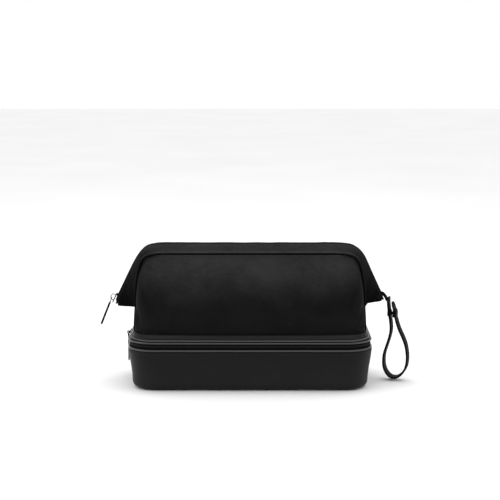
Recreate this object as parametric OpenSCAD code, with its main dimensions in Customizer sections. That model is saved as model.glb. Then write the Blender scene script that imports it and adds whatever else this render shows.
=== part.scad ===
// Wide-mouth shaving kit bag with a zipped base compartment and a framed, zipped top.
// X runs along the bag to the right, Y runs from the front (-Y) to the back, Z is up.
// The origin is on the table, at the middle of the base. All sizes are in millimetres.

/* [Base compartment] */
// Width of the base at its lip
base_w = 270; // [220:1:320]
// Depth of the base at its lip
base_d = 122; // [100:1:150]
// Plan radius of the base corners
corner_r = 30; // [20:1:40]
// Height of the base lip
base_h = 46.5; // [35:0.5:70]
// How much each wall leans in from the lip to the foot
taper = 4; // [0:0.5:8]
// Radius where the wall turns under to the floor
foot_r = 8; // [4:0.5:14]
// Thickness of the leather wall
wall_t = 1.8; // [1:0.1:3]

/* [Lid zip] */
// Height of the line where the base zip opens
zip_z = 50; // [48:0.1:54]
// How far the zip tape is set in from the lip
tape_inset = 2.4; // [1.5:0.1:4]
// Opening angle of the lid
lid_open = 105; // [60:5:120]

/* [Canvas body] */
// Width of the canvas body at its panels' side edges
body_w = 258; // [210:1:300]
// Height where the canvas starts above the leather band
canvas_z = 62; // [58:0.5:70]
// Height of the front and back folds of the mouth
fold_z = 151; // [130:1:170]
// Distance of each fold from the middle
fold_y = 27; // [18:0.5:36]
// Height of the zip along the top
ridge_z = 157.5; // [135:0.5:178]
// Thickness of the canvas
canvas_t = 1.2; // [0.8:0.1:2]

/* [Mouth frames] */
// Height of the pivots of the two frames
pivot_z = 84.5; // [78:0.5:95]
// Diameter of the frame wire
wire_d = 3.2; // [2.5:0.1:4]
// Opening angle of each frame
mouth_open = 30; // [15:1:34]

/* [Zips] */
// Length of a zip slider
slider_l = 12; // [9:0.5:14]
// Length of a zip pull
pull_l = 33; // [20:1:40]
// Width of a zip pull
pull_w = 7; // [5:0.5:9]

/* [Wrist strap] */
// Width of the strap
strap_w = 14; // [10:0.5:20]
// Thickness of the strap
strap_t = 2.2; // [1.5:0.1:3]
// How far the strap is turned about the vertical
strap_turn = 16; // [0:1:25]

/* [Hidden] */
$fn = 32;

leather = [0.05, 0.05, 0.055];
canvas = [0.09, 0.09, 0.1];
lining = [0.16, 0.16, 0.17];
tape = [0.06, 0.06, 0.065];
metal = [0.3, 0.3, 0.32];
board = [0.35, 0.33, 0.3];

half_w = base_w / 2;
half_d = base_d / 2;
gap = 0.1;                 // clearance between pieces of one body
lid_z = 52.2;              // underside of the lid piping
deck_z = 55.2;             // underside of the deck board
mid = body_w / 2;

// Half of a mouth fold, from the middle of the top to the foot of the wing: [x, y, z]
fold = [[0, 0, 0], [35, 0, 0], [70, 0, 0], [95, 0, 0], [106, 0, -0.8], [113, 0, -3.2],
  [118, -0.2, -7.5], [120.8, -0.6, -13], [123.2, -1.4, -21], [125.2, -2.8, -30.5],
  [126.8, -5.4, -40.5], [128, -10.5, -50], [128.9, -16.5, -58], [129.2, -21, -65.5]];
// The matching half of the zip ridge: [x, z]
ridge = [[0, 0], [35, 0], [70, 0], [98, 0], [109, -0.9], [117.5, -3.9], [123.5, -9.2],
  [127.8, -15.5], [132.2, -24.5], [136.9, -34.1], [141.7, -43.9], [146.4, -53.5],
  [150.4, -62.5], [152.4, -69]];

// ---- Helpers ----

function add(v, i = 0) = i < len(v) ? v[i] + add(v, i + 1) : 0;
function ease(t) = t <= 0 ? 0 : t >= 1 ? 1 : t * t * (3 - 2 * t);
function lerp(a, b, t) = a + (b - a) * t;
function unit(v) = v / max(norm(v), 1e-9);
function flip(v) = [for (i = [len(v) - 1:-1:0]) v[i]];

// Closed skin over a list of matching rings. Unless its ends are flat, a ring is two matched
// chains of points, out and back.
module skin(rings, closed = false, flat_ends = false) {
  m = len(rings[0]);
  n = len(rings);
  pts = [for (r = rings) each r];
  side = [for (i = [0:closed ? n - 1 : n - 2], j = [0:m - 1])
    let (a = i * m + j, b = i * m + (j + 1) % m, c = ((i + 1) % n) * m + (j + 1) % m,
      d = ((i + 1) % n) * m + j) each [[a, d, c], [a, c, b]]];
  cap = [for (k = [0:m / 2 - 2]) each [[k, k + 1, m - 2 - k], [k, m - 2 - k, m - 1 - k]]];
  last = (n - 1) * m;
  ends = closed ? [] : flat_ends ? [[for (j = [0:m - 1]) j], [for (j = [m - 1:-1:0]) last + j]] :
    [for (f = cap) each [f, [last + f[2], last + f[1], last + f[0]]]];
  faces = concat(side, ends);
  vol = add([for (f = faces, j = [1:len(f) - 2]) pts[f[0]] * cross(pts[f[j]], pts[f[j + 1]])]);
  polyhedron(pts, vol < 0 ? faces : [for (f = faces) flip(f)]);
}

// Normals of a grid of points, pointing away from the middle of the bag
function grid_normal(g, i, j) =
  let (a = g[min(i + 1, len(g) - 1)][j] - g[max(i - 1, 0)][j],
    b = g[i][min(j + 1, len(g[0]) - 1)] - g[i][max(j - 1, 0)])
  unit(cross(b, a));
function shift_grid(g, t) = t == 0 ? g :
  [for (i = [0:len(g) - 1]) [for (j = [0:len(g[0]) - 1]) g[i][j] + t * grid_normal(g, i, j)]];

// The same grid moved in towards the middle of the bag by t
function draw_in(g, t) = [for (row = g) [for (p = row) p - t * unit([0.2 * p[0], p[1], 0])]];

module between(a, b) skin([for (i = [0:len(a) - 1]) concat(a[i], flip(b[i]))]);

// Sheet between two offsets of a grid
module sheet(g, from, to) between(shift_grid(g, from), shift_grid(g, to));

// Plan outline of the base, set in by d, from the middle of the back through the left side
corner_n = 6;
function arc(cx, cy, r, from) =
  [for (k = [0:corner_n]) [cx + r * cos(from + 90 * k / corner_n), cy + r * sin(from + 90 * k / corner_n)]];
function plan(d) =
  let (a = half_w - d, b = half_d - d, r = corner_r - d, sx = a - r, sy = b - r)
  concat([for (k = [0:3]) [-sx * k / 4, b]], arc(-sx, sy, r, 90),
    [for (k = [1:3]) [-a, sy - sy * k / 2]], arc(-sx, -sy, r, 180),
    [for (k = [1:7]) [-sx + sx * k / 4, -b]], arc(sx, -sy, r, 270),
    [for (k = [1:3]) [a, -sy + sy * k / 2]], arc(sx, sy, r, 0),
    [for (k = [1:3]) [sx - sx * k / 4, b]]);
plan_n = 4 * (corner_n + 1) + 20;

// Ring or open run of a band around the plan, from a closed profile of [inset, z]
module band(profile, first = 0, last = plan_n) {
  lines = [for (p = profile) [for (q = plan(p[0])) [q[0], q[1], p[1]]]];
  skin([for (i = [first:min(last, plan_n - 1)]) [for (l = lines) l[i]]], last == plan_n);
}

// Cup or plate: plan outlines stacked along a profile of [inset, z]
module stack(profile) {
  skin([for (p = profile) [for (q = plan(p[0])) [q[0], q[1], p[1]]]], flat_ends = true);
}

// Round bar along a path, with an even number of sides
module rod(path, d, sides = 10) {
  n = len(path);
  skin([for (i = [0:n - 1])
    let (t = unit(path[min(i + 1, n - 1)] - path[max(i - 1, 0)]),
      u = unit(cross(t, [0.02, 1, 0.01])), v = cross(t, u))
    [for (k = [0:sides - 1]) path[i] + d / 2 * (cos(360 * k / sides) * u + sin(360 * k / sides) * v)]]);
}

// Flat strip of a given thickness along a 2D path
module ribbon(path, t) {
  n = len(path);
  side = [for (i = [0:n - 1])
    let (d = unit(path[min(i + 1, n - 1)] - path[max(i - 1, 0)])) t / 2 * [-d[1], d[0]]];
  polygon(concat([for (i = [0:n - 1]) path[i] + side[i]], [for (i = [n - 1:-1:0]) path[i] - side[i]]));
}

// ---- Base compartment ----

function wall_profile(d) = concat(
  [for (k = [0:4]) let (q = 90 - 90 * k / 4)
    [taper + foot_r - (foot_r - d) * cos(q), foot_r - (foot_r - d) * sin(q)]],
  [[taper * 0.55 + d, base_h * 0.45], [d, base_h - 3]]);

module base_wall() color(leather)
  band(concat(wall_profile(0), flip(wall_profile(wall_t))));

module base_floor() color(leather)
  stack([[taper + foot_r + gap, 0], [taper + foot_r + gap, wall_t]]);

module base_board() color(board)
  stack([[taper + foot_r, wall_t + gap], [taper + foot_r, wall_t + gap + 2]]);

module base_lining() color(lining) {
  in = wall_t + gap;
  z = wall_t + 2 + 2 * gap;
  stack([[taper + foot_r - 2, z], [taper + in + 2.6, z], [taper + in + 0.6, z + 4],
    [taper * 0.55 + in + 0.1, base_h * 0.45], [in + 0.1, base_h - 4.5],
    [in + 0.8, base_h - 4.5], [taper * 0.55 + in + 0.8, base_h * 0.45],
    [taper + in + 1.3, z + 4], [taper + in + 3.2, z + 0.7], [taper + foot_r - 2, z + 0.7]]);
}

// Rolled leather lip that finishes the top of the wall
module base_lip() color(leather) {
  r = 1.35;
  band([for (k = [0:9]) [r - 0.2 + r * cos(36 * k), base_h - r + r * sin(36 * k)]]);
}

zip_first = 3;
zip_last = plan_n - 3;

module base_zip_tape() color(tape)
  band([[tape_inset + 0.8, base_h - 5], [tape_inset + 1.4, base_h - 5],
    [tape_inset + 0.6, zip_z - 2.1], [tape_inset, zip_z - 2.1]], zip_first, zip_last);

module base_zip_teeth() color(tape)
  band([[tape_inset - 0.7, zip_z - 2], [tape_inset + 1.3, zip_z - 2],
    [tape_inset + 1.3, zip_z - 0.8], [tape_inset - 0.7, zip_z - 0.8]], zip_first + 1, zip_last - 1);

// Metal stops at the two ends of the base zip
module base_zip_stops() color(metal)
  for (s = [-1, 1])
    translate([s * (half_w - corner_r + 14), half_d - tape_inset + 0.9, zip_z - 2])
      cube([3, 1.2, 1.2], center = true);

// Soft strip along the back that the lid turns on
module hinge_strip() color(leather)
  translate([-(half_w - corner_r) * 0.72, half_d - tape_inset - 1.3, base_h - 3])
    cube([(half_w - corner_r) * 1.44, 0.6, 11]);

// ---- Lid: deck, band and the lower canvas ----

module lid_piping() color(leather) {
  r = 1.3;
  band([for (k = [0:9]) [r + r * cos(36 * k), lid_z + r + r * sin(36 * k)]]);
}

module lid_band() color(leather)
  band([[0.8, lid_z + 2.8], [1.4, lid_z + 4.6], [3.6, lid_z + 6.6], [6.4, canvas_z - 0.3],
    [7.6, canvas_z - 0.3], [5, lid_z + 5.2], [3.2, lid_z + 3.8], [3, lid_z + 2.8]]);

module lid_zip_tape() color(tape)
  band([[tape_inset, zip_z + 2.1], [tape_inset + 0.6, zip_z + 2.1],
    [tape_inset + 1.4, deck_z - 0.3], [tape_inset + 0.8, deck_z - 0.3]], zip_first, zip_last);

module lid_zip_teeth() color(tape)
  band([[tape_inset - 0.7, zip_z + 0.8], [tape_inset + 1.3, zip_z + 0.8],
    [tape_inset + 1.3, zip_z + 2], [tape_inset - 0.7, zip_z + 2]], zip_first + 1, zip_last - 1);

module lid_deck() color(board)
  stack([[3.9, deck_z], [3.9, deck_z + 0.6], [8.2, deck_z + 2.4]]);

module deck_lining() color(lining)
  stack([[9, deck_z + 2.6], [9, deck_z + 3.3]]);

// Half width, middle depth and side depth of a body panel at height z
fold_full = [for (p = fold) [p[2] + fold_z, p[0]]];
side_full = [for (p = fold) [p[2] + fold_z, fold_y + p[1]]];
function panel_half(z) = lookup(z, fold_full);
function panel_mid(z) = lookup(z, [[84, 52.4], [92, 52.2], [98, 51.4], [104, 50], [112, 47], [120, 43.2],
  [128, 39.2], [136, 35.1], [144, 31], [fold_z, fold_y]]);
function panel_side(z) = lookup(z, side_full);
function panel_y(x, z) =
  let (t = min(1, abs(x) / panel_half(z)), s = panel_side(z), m = lerp(3.4, 5, ease((z - 100) / 50)))
  s + (panel_mid(z) - s) * sqrt(max(0, 1 - pow(t, m)));

// Radius about the pivots that an opening frame's panel sweeps at x
function swept_r(x) = max([for (z = [86:1.5:140])
  let (y = panel_y(x, z)) panel_half(z) >= abs(x) - 0.8 && atan2(z - pivot_z, y) <= mouth_open + 9 ?
  norm([y, z - pivot_z]) : 0]);
swept = [for (x = [0:3:129]) [x, swept_r(x)]];

// Inner face of the lower canvas tube
function lower_y(x, z) =
  let (t = min(1, abs(x) / mid), r = max(lookup(abs(x), swept), 22.5) + 1.4,
    foot = 24 + 29.4 * sqrt(max(0, 1 - pow(t, 7))), k = ease((z - canvas_z) / 22),
    y = lerp(foot, r, k), dz = z - pivot_z)
  max(y, dz < 0 ? sqrt(max(0, r * r - dz * dz)) : 0);

cols = 28;
function spread(k) = let (t = k / (cols / 2)) sin(90 * t) * 0.35 + t * 0.65;
function lower_grid(side) = [for (v = [0:6]) [for (k = [-cols / 2:cols / 2])
  let (x = mid * spread(k), top = pivot_z + 0.4 + tan(6) * lower_y(x, pivot_z),
    z = lerp(canvas_z, top, v / 6))
  [x * side, -side * lower_y(x, z), z]]];

module lower_panel(side) color(canvas) sheet(lower_grid(side), 0.6, 0.6 + canvas_t);
module front_panel_lower() lower_panel(1);
module back_panel_lower() lower_panel(-1);

module body_lining() color(lining)
  for (side = [1, -1]) sheet(lower_grid(side), 0, 0.5);

// Side gusset, folded in between the two frames
gusset_rows = [62, 65, 68, 71, 74, 77, 81, 86, 91, 97, 105, 115, 127, 140];
function gusset_x(z) = lookup(z, [[62, 127.4], [65, 126.8], [68, 124.8], [72, 119.8], [76, 117.4], [140, 116]]);
function gusset_y(z) = lookup(z, [[62, 22.8], [74, 21.5], [81, 18], [88, 10], [94, 8.5], [108, 13], [140, 17]]);
function gusset_in(z) = lookup(z, [[71, 0], [83, 2], [92, 8], [108, 15], [140, 21]]);
function gusset_flange(z) = lookup(z, [[69, 1], [72, 0.06], [140, 0.05]]);
gusset_grid = [for (z = gusset_rows) [for (k = [-8:8])
  let (w = k / 8, o = max(0, (abs(w) - 0.75) / 0.25), c = min(1, abs(w) / 0.75))
  [gusset_x(z) - gusset_in(z) * (1 - c) + (127.4 - gusset_x(z)) * o * gusset_flange(z) + 0.3 * o,
    sign(w) * gusset_y(z) * (c * 0.94 + 0.06 * o), z]]];

module gusset() color(canvas) sheet(gusset_grid, 0, 0.8);
module gusset_right() gusset();
module gusset_left() mirror([1, 0, 0]) gusset();

// Rivets that the eyes of both frames turn on, with a washer behind the gusset
module pivot_rivets() color(metal)
  for (s = [0, 1]) mirror([s, 0, 0]) translate([0, 0, pivot_z]) rotate([0, 90, 0]) {
    translate([0, 0, 118.4]) cylinder(r = 3.2, h = 1);
    translate([0, 0, 118.4]) cylinder(r = 1.5, h = 8.5);
    translate([0, 0, 126.8]) cylinder(r1 = 3.4, r2 = 2.4, h = 1.2);
  }

module strap_tab() color(canvas)
  translate([0, 1.2, 0]) rotate([90, 0, 0]) linear_extrude(2.4)
    polygon([[127.8, 76.5], [150, 79.2], [154, 81.4], [154.4, 86], [153.2, 86], [152.2, 83], [133, 81], [127.8, 80.3]]);

// ---- Mouth frames ----

// Full grid of a mouth strip between fold and ridge, from share a to share b of its width
function strip_grid(side, a, b, rows = 5) =
  let (n = len(fold))
  [for (i = [n - 1:-1:-n + 1]) let (k = abs(i), s = i < 0 ? -1 : 1)
    [for (j = [0:rows])
      let (t = lerp(a, b, j / rows), h = 1.5 * sin(180 * t),
        p = [fold[k][0], -(fold_y + fold[k][1]), fold[k][2] + fold_z],
        q = [ridge[k][0], -0.9, ridge[k][1] + ridge_z],
        out = unit([k > 4 ? min(1, (k - 4) / 5) : 0, -0.35, k > 4 ? 1 - min(1, (k - 4) / 5) + 0.1 : 1]),
        r = lerp(p, q, t) + h * out)
      [s * side * r[0], side * r[1], r[2]]]];

panel_rows = [93, 96, 99.5, 104, 110, 116, 123, 130, 136, 141, 145, 148, 150, fold_z - 0.4];
function panel_grid(side) = [for (v = [0:len(panel_rows) - 1]) [for (k = [-cols / 2:cols / 2])
  let (u = spread(k), z0 = panel_rows[v], y0 = panel_y(u * panel_half(z0), z0),
    foot = pivot_z + 0.8 + tan(7.5) * y0, z = lerp(foot, z0, ease(v / 4)),
    x = u * (panel_half(z) - 0.6), y = panel_y(x, z))
  [side * x, -side * y, z]]];

module mouth_panel(side) color(canvas) between(draw_in(panel_grid(side), canvas_t), panel_grid(side));
module mouth_lining(side) color(lining) {
  g = [for (row = panel_grid(side)) [for (k = [3:cols - 3]) row[k]]];
  between(draw_in(g, canvas_t + 0.8), draw_in(g, canvas_t + 0.15));
}
module mouth_strip(side) color(canvas) sheet(strip_grid(side, 0.03, 0.78), 0, 1.2);
module mouth_tape(side) color(tape) sheet(strip_grid(side, 0.79, 0.925, 3), 0.2, 0.8);

// Row of teeth along the ridge
module mouth_teeth(side) color(tape) {
  n = len(ridge) - 1;
  skin([for (i = [-n + 1:n - 1]) let (k = abs(i), s = i < 0 ? -1 : 1,
      d = unit([ridge[min(k + 1, n)][0] - ridge[max(k - 1, 0)][0], 0, ridge[min(k + 1, n)][1] - ridge[max(k - 1, 0)][1]]),
      o = k == 0 ? [0, 0, 1] : [-d[2], 0, d[0]],
      p = [ridge[k][0], 0, ridge[k][1] + ridge_z])
    [for (c = [[0.8, -0.3], [2.2, -0.3], [2.2, 1.5], [0.8, 1.5]])
      let (r = p + c[1] * o) [s * r[0], -side * c[0], r[2]]]]);
}

// Wire frame inside the mouth, with a flat eye at each end
module mouth_bar(side) color(metal) {
  in = wire_d / 2 + 2.4;
  eye_x = side > 0 ? 121.2 : 124.8;
  run = [for (i = [len(fold) - 3:-1:0]) let (p = fold[i])
    [min(p[0], 200) - (i > 3 ? in * min(1, (i - 3) / 3) : 0), -(fold_y + p[1]) + in,
      p[2] + fold_z - (i < 9 ? in * 0.9 * (9 - max(i, 4)) / 5 : 0)]];
  half = concat([[eye_x, -3, pivot_z + 2.4]], [[eye_x, -4.6, pivot_z + 6.5]], run);
  difference() {
    union() {
      rod(concat([for (p = half) [-p[0], side * p[1], p[2]]],
        [for (i = [len(half) - 2:-1:0]) [half[i][0], side * half[i][1], half[i][2]]]), wire_d);
      for (s = [-1, 1]) translate([s * eye_x, 0, pivot_z]) rotate([0, 90, 0])
        cylinder(r = 4.4, h = 1.2, center = true);
    }
    translate([0, 0, pivot_z]) rotate([0, 90, 0]) cylinder(r = 1.56, h = 300, center = true);
  }
}

module front_frame_bar() mouth_bar(1);
module back_frame_bar() mouth_bar(-1);
module front_strip() mouth_strip(1);
module back_strip() mouth_strip(-1);
module front_panel() mouth_panel(1);
module back_panel() mouth_panel(-1);
module front_lining() mouth_lining(1);
module back_lining() mouth_lining(-1);
module front_zip_tape() mouth_tape(1);
module back_zip_tape() mouth_tape(-1);
module front_zip_teeth() mouth_teeth(1);
module back_zip_teeth() mouth_teeth(-1);

// ---- Zip sliders and pulls ----

// Middle of the top slider on the straight ridge of the left wing, and that ridge's lean
wing_tilt = atan2(ridge[12][0] - ridge[8][0], ridge[8][1] - ridge[12][1]);
wing_foot = [-ridge[12][0] - 0.6, 0, ridge[12][1] + ridge_z - 1.2];
pull_lift = 3.5;           // how much steeper the top pull hangs than the ridge
base_slider_y = 22;
base_rail = [-half_w + tape_inset + 0.8, base_slider_y, zip_z];

// Slider in its own frame: the rail runs along Z and the outside is towards -X
module slider(out, channel, in_w) {
  l = slider_l;
  translate([-out - 1.2, -4, -l / 2]) cube([1.2, 8, l]);
  translate([channel, -in_w, -l / 2]) cube([0.9, 2 * in_w, l]);
  translate([-out - 0.1, -0.45, -l / 2]) cube([out + channel + 0.2, 0.9, 2.6]);
  for (z = [-2.4, 2.4]) translate([-out - 3.5, -0.8, z - 0.6]) cube([2.4, 1.6, 1.2]);
  translate([-out - 4, -0.8, -3]) cube([0.9, 1.6, 6]);
}

module top_slider() color(metal)
  translate(wing_foot) rotate([0, wing_tilt, 0]) slider(2, 1, 1.5);
module base_slider() color(metal)
  translate(base_rail) rotate([90, 0, 0]) slider(3.8, 0.9, 3);

// Pull that turns on a pin under the bridge of the top slider
module top_pull() color(metal)
  translate(wing_foot) rotate([0, wing_tilt, 0]) translate([-4.3, 0, -0.95]) rotate([0, -pull_lift, 0]) {
    rotate([90, 0, 0]) cylinder(r = 0.45, h = 5.2, center = true);
    for (y = [-2.6, 1.6]) translate([-0.5, y, -6.5]) cube([1, 1, 7]);
    translate([-0.5, -pull_w / 2, -pull_l]) cube([1, pull_w, pull_l - 5.5]);
    translate([-0.9, -pull_w / 2 + 0.9, -pull_l + 1.2]) cube([1.8, pull_w - 1.8, pull_l - 9]);
  }

// Pull that hangs by a ring round the bridge of the base slider
module base_pull() color(metal)
  translate(base_rail + [-7.35, 0, 0]) {
    rotate([90, 0, 0]) difference() {
      cylinder(r = 2.05, h = 1.8, center = true);
      cylinder(r = 1.25, h = 3, center = true);
    }
    translate([-0.6, -pull_w / 2, -pull_l]) cube([1.2, pull_w, pull_l - 3.6]);
    translate([-0.6, -0.9, -4]) cube([1.2, 1.8, 2.3]);
  }

module top_zip_stops() color(metal)
  for (p = [[-152.7, 86.4], [151.8, 92.7]]) translate([p[0], -1.6, p[1]]) cube([1.2, 1.6, 1.4], center = true);

// ---- Wrist strap ----

strap_x = 156;
strap_top = 94;
// Strap from the wing down round the loop, and the flap back up to its tip: [x, z]
strap_path = [[156, 94.6], [156.2, 88], [157.2, 80], [158.6, 71], [159.7, 62], [159.4, 55],
  [157.6, 47], [155, 38.5], [152.6, 30], [151.9, 21], [153.2, 13], [157, 6.5], [162, 3.2],
  [167.5, 3.6], [172.5, 7.2], [175.6, 11.7]];
flap_path = [[176.7, 13.4], [178.2, 18.5], [178.9, 25], [178.4, 33], [176.6, 42], [173.2, 50.5],
  [169.4, 58.5], [166.7, 66], [164.7, 73.5], [163.2, 81], [161.6, 86.5], [160.6, 90]];
snap_z = 76.5;

module turned() translate([strap_x, 0, 0]) rotate([0, 0, -strap_turn]) translate([-strap_x, 0, 0]) children();
module strap_solid(path) turned()
  rotate([90, 0, 0]) translate([0, 0, -strap_w / 2]) linear_extrude(strap_w) ribbon(path, strap_t);
module snap_at(x) turned() translate([x, 0, snap_z]) rotate([0, 90, 0]) children();

module strap_band() color(leather) strap_solid(strap_path);
module strap_flap() color(leather) strap_solid(flap_path);

module snap_stud() color(metal) {
  snap_at(158.6) cylinder(r = 5, h = 1.3);
  snap_at(159.8) cylinder(r = 1.6, h = 2.2);
  snap_at(155.4) cylinder(r = 4, h = 1.4);
}

module snap_cap() color(metal) {
  snap_at(161.3) difference() {
    cylinder(r = 5, h = 1.9);
    translate([0, 0, -0.5]) cylinder(r = 2.2, h = 2.2);
  }
  snap_at(165) cylinder(r1 = 6, r2 = 5, h = 1.6);
}

base_floor();
base_board();
base_wall();
base_lining();
base_lip();
base_zip_tape();
base_zip_teeth();
base_zip_stops();
hinge_strip();
lid_deck();
lid_band();
lid_piping();
lid_zip_tape();
lid_zip_teeth();
deck_lining();
front_panel_lower();
back_panel_lower();
body_lining();
gusset_left();
gusset_right();
pivot_rivets();
strap_tab();
front_frame_bar();
front_strip();
front_panel();
front_lining();
front_zip_tape();
front_zip_teeth();
back_frame_bar();
back_strip();
back_panel();
back_lining();
back_zip_tape();
back_zip_teeth();
top_zip_stops();
top_slider();
top_pull();
base_slider();
base_pull();
strap_band();
snap_stud();
strap_flap();
snap_cap();
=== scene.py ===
"""Visual model of the shaving kit bag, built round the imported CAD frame.

Shapes are in millimetres.
"""
import math
import bpy
import numpy as np
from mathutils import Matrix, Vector, noise


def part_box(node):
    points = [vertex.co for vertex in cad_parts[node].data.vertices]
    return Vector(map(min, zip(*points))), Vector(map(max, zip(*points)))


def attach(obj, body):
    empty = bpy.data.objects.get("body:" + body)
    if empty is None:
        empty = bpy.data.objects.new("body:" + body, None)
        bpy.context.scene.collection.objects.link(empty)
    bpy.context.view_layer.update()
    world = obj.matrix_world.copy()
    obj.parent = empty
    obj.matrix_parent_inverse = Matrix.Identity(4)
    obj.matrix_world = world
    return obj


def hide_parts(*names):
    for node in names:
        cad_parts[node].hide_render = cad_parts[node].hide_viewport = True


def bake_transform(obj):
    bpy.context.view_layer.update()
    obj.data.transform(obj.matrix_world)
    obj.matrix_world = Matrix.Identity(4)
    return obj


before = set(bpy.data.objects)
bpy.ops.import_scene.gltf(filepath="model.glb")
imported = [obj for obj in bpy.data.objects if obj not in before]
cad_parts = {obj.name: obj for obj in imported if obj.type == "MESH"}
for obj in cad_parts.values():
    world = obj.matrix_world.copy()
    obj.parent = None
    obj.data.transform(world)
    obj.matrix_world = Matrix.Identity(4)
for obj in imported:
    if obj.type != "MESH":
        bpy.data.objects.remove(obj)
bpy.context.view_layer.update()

MM = 0.001
rng = np.random.default_rng(11)


# ---------------------------------------------------------------- materials

class Graph:
    """A new material and a short way to add and link its nodes."""

    def __init__(self, name):
        self.material = bpy.data.materials.new(name)
        self.material.use_nodes = True
        self.tree = self.material.node_tree
        self.tree.nodes.clear()
        self.shader = self.tree.nodes.new("ShaderNodeBsdfPrincipled")
        out = self.tree.nodes.new("ShaderNodeOutputMaterial")
        self.tree.links.new(self.shader.outputs[0], out.inputs[0])
        self.spot = self.node("TexCoord").outputs["Object"]

    def node(self, kind, inputs=None, **props):
        made = self.tree.nodes.new("ShaderNode" + kind)
        for key, value in props.items():
            setattr(made, key, value)
        for key, value in (inputs or {}).items():
            self.plug(value, made.inputs[key])
        return made

    def plug(self, value, socket):
        if isinstance(value, bpy.types.NodeSocket):
            self.tree.links.new(value, socket)
        else:
            socket.default_value = value

    def math(self, op, *values):
        return self.node("Math", dict(enumerate(values)), operation=op).outputs[0]

    def add(self, a, b):
        return self.math("ADD", a, b)

    def mul(self, a, b):
        return self.math("MULTIPLY", a, b)

    def mul_add(self, a, b, c):
        return self.math("MULTIPLY_ADD", a, b, c)

    def rise(self, value, start, end, top=1.0):
        """Smooth step from 0 at start to top at end."""
        return self.node("MapRange", {"Value": value, "From Min": start, "From Max": end, "To Max": top},
                         interpolation_type="SMOOTHSTEP").outputs["Result"]

    def mix(self, factor, a, b, blend="MIX"):
        made = self.node("Mix", {"Factor": factor}, data_type="RGBA", blend_type=blend)
        self.plug(a, made.inputs[6])
        self.plug(b, made.inputs[7])
        return made.outputs[2]

    def noise(self, scale, detail=3.0, rough=0.5, where=None):
        return self.node("TexNoise", {"Vector": where or self.spot, "Scale": scale, "Detail": detail,
                                      "Roughness": rough}).outputs["Fac"]

    def stretched(self, *scale):
        return self.node("Mapping", {"Vector": self.spot, "Scale": scale}).outputs[0]

    def ramp(self, value, *stops):
        """Grey or (r, g, b) shades at places along a ramp."""
        made = self.node("ValToRGB", {0: value})
        elements = made.color_ramp.elements
        elements[0].position = stops[0][0]
        elements[-1].position = stops[-1][0]
        for place, _ in stops[1:-1]:
            elements.new(place)
        for element, (_, shade) in zip(elements, stops):
            element.color = (*(shade if hasattr(shade, "__len__") else (shade,) * 3), 1)
        return made.outputs[0]

    def bump(self, height, strength, distance, under=None):
        made = self.node("Bump", {"Height": height, "Strength": strength, "Distance": distance})
        if under is not None:
            self.plug(under, made.inputs["Normal"])
        return made.outputs[0]

    def set(self, **values):
        for key, value in values.items():
            self.plug(value, self.shader.inputs[key.replace("_", " ")])
        return self.material

    def cloth(self):
        """How far along and across its own cloth a point is, in millimetres."""
        parts = self.node("SeparateXYZ", {"Vector": self.node("TexCoord").outputs["UV"]})
        return parts.outputs["X"], parts.outputs["Y"]


def weave_height(g, pitch):
    """Height of a plain weave, whose threads pass over and under each other."""
    u, v = [g.math("DIVIDE", side, pitch) for side in g.cloth()]
    check = g.math("FLOORED_MODULO", g.add(g.math("FLOOR", u), g.math("FLOOR", v)), 2.0)
    across, along = [g.math("ABSOLUTE", g.math("SINE", g.mul(side, math.pi))) for side in (u, v)]
    over = g.mul(across, g.mul_add(check, 0.45, 0.55))
    return g.math("MAXIMUM", over, g.mul(along, g.mul_add(check, -0.45, 1.0)))


def canvas_material(name, shade_tone, lit_tone, low, high, shine=0.1, fuzz=0.03):
    """Plain weave with lint specks. Its tone goes from hollow at height low to raised at high as painted
    light from above, and it is darker near its side edges as painted shade.
    """
    g = Graph(name)
    height = weave_height(g, 0.62)
    lint = g.noise(900.0, 2.0, 0.7)
    patch = g.noise(26.0, 5.0, 0.62)
    slub = g.noise(150.0, 3.0, 0.6, g.stretched(1.0, 1.0, 6.0))
    place = g.node("SeparateXYZ", {"Vector": g.spot}).outputs
    # painted shade: the cloth is made darker near its side edges
    painted_side_shade = g.rise(g.math("ABSOLUTE", place["X"]), 0.092, 0.128, -0.014)
    # painted light: the share of the lighter tone grows with height, so the cloth is lighter higher up
    painted_light_share = g.rise(g.add(g.mul_add(patch, 0.02, place["Z"]), painted_side_shade), low + 0.01, high + 0.01)
    tone = g.add(g.mul(height, 0.3), g.add(g.mul(lint, 0.3), g.add(g.mul(patch, 0.7), g.mul(slub, 0.35))))
    painted_light_ground = g.mix(painted_light_share, (shade_tone, shade_tone, shade_tone, 1), (lit_tone, lit_tone, lit_tone, 1))
    cloth = g.mix(1.0, painted_light_ground, g.ramp(tone, (0.45, 0.5), (0.8, 1.0), (1.15, 1.75)), "MULTIPLY")
    specks = g.node("TexVoronoi", {"Vector": g.spot, "Scale": 85.0, "Randomness": 1.0}).outputs["Distance"]
    near = g.mul(g.math("LESS_THAN", specks, 0.05), g.math("GREATER_THAN", patch, 0.5))
    # lint specks, laid over the painted light and shade
    painted_light_and_lint = g.mix(g.mul(near, 0.3), cloth, (0.035, 0.035, 0.037, 1))
    soft = g.bump(slub, 0.3, 0.0006, g.bump(patch, 0.5, 0.0022))
    normal = g.bump(lint, 0.25, 0.0002, g.bump(height, 0.55, 0.00022, soft))
    return g.set(Base_Color=painted_light_and_lint, Roughness=g.mul_add(lint, 0.16, 0.78), Normal=normal,
                 Specular_IOR_Level=shine, Sheen_Weight=fuzz, Sheen_Roughness=0.45,
                 Sheen_Tint=(0.75, 0.75, 0.78, 1))


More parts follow.
